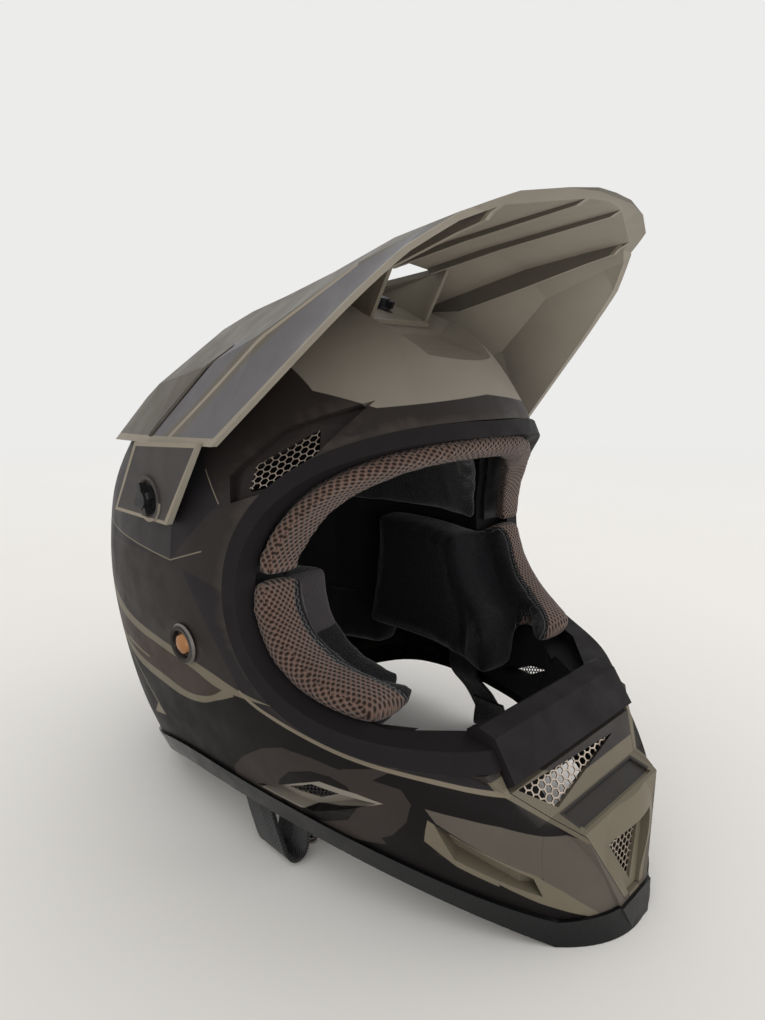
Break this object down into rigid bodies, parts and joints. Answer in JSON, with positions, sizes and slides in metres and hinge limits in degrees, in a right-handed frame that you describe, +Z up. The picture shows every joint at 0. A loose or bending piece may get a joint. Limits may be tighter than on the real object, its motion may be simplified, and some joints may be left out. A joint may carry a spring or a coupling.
{
  "type": "motocross helmet",
  "caption": "Off-road full-face helmet with a faceted vented chin bar, open face port, adjustable sun peak on thumb screws, padded liner and a strap with two rings.",
  "frame": {"origin": "on the ground under the middle of the bounding box", "axes": "+Z up, -Y towards the face, +X to the wearer's left"},
  "size_m": [0.2522, 0.3644, 0.3131],
  "materials": {
    "shell_paint": "painted composite, matte",
    "cover_plastic": "satin moulded plastic",
    "peak_plastic": "satin moulded plastic",
    "vent_mesh": "woven hexagonal wire mesh",
    "rubber_trim": "matte moulded rubber",
    "foam": "moulded expanded foam",
    "liner_fabric": "brushed knit over foam",
    "spacer_fabric": "open spacer mesh over foam",
    "webbing": "woven webbing",
    "black_plastic": "fine grained moulded plastic",
    "brass": "polished",
    "bright_steel": "polished"
  },
  "bodies": {
    "helmet": {"base_trim": "rubber_trim", "brow_pad": "spacer_fabric", "brow_vent_mesh_left": "vent_mesh", "brow_vent_mesh_right": "vent_mesh", "cheek_pad_left": "liner_fabric", "cheek_pad_right": "liner_fabric", "cheek_roll_left": "spacer_fabric", "cheek_roll_right": "spacer_fabric", "chin_bar_foam": "foam", "crown_liner": "liner_fabric", "eyeport_trim": "rubber_trim", "impact_liner": "foam", "jaw_vent_mesh_left": "vent_mesh", "jaw_vent_mesh_right": "vent_mesh", "mouth_mesh_lower": "vent_mesh", "mouth_mesh_upper": "vent_mesh", "mouth_vent_cover": "cover_plastic", "neck_roll": "liner_fabric", "outer_shell": "shell_paint", "peak_grommets": "rubber_trim", "peak_nuts": "brass", "port_inner_strip": "black_plastic", "rear_vent_mesh_left": "vent_mesh", "rear_vent_mesh_right": "vent_mesh", "rivet_washers": "bright_steel", "slot_vent_mesh_left": "vent_mesh", "slot_vent_mesh_right": "vent_mesh", "strap_anchors": "bright_steel", "strap_left": "webbing", "strap_right": "webbing", "strap_rivets": "brass"},
    "peak": {"peak_visor": "peak_plastic", "peak_bracket": "peak_plastic"},
    "side_screw_right": {"side_screw_right": "black_plastic"},
    "side_screw_left": {"side_screw_left": "black_plastic"},
    "centre_screw": {"centre_screw": "black_plastic"},
    "d_ring_inner": {"d_ring_inner": "bright_steel"},
    "d_ring_outer": {"d_ring_outer": "bright_steel"}
  },
  "joints": [
    {"name": "peak_tilt", "type": "hinge", "parent": "helmet", "child": "peak", "pos_m": [0, 0.0248, 0.182], "axis": [1, 0, 0], "range_deg": [-3, 4]},
    {"name": "side_screw_right_turn", "type": "hinge", "parent": "helmet", "child": "side_screw_right", "pos_m": [-0.118, 0.0248, 0.182], "axis": [-1, 0, 0], "continuous": true},
    {"name": "side_screw_left_turn", "type": "hinge", "parent": "helmet", "child": "side_screw_left", "pos_m": [0.118, 0.0248, 0.182], "axis": [1, 0, 0], "continuous": true},
    {"name": "centre_screw_turn", "type": "hinge", "parent": "helmet", "child": "centre_screw", "pos_m": [0, -0.01234, 0.27485], "axis": [0, -0.3714, 0.9285], "continuous": true},
    {"name": "d_ring_inner_swing", "type": "hinge", "parent": "helmet", "child": "d_ring_inner", "pos_m": [-0.0741, -0.0362, 0.0245], "axis": [0, 1, 0], "range_deg": [-95, 0]},
    {"name": "d_ring_outer_swing", "type": "hinge", "parent": "helmet", "child": "d_ring_outer", "pos_m": [-0.0777, -0.0362, 0.0245], "axis": [0, 1, 0], "range_deg": [0, 5]}
  ]
}
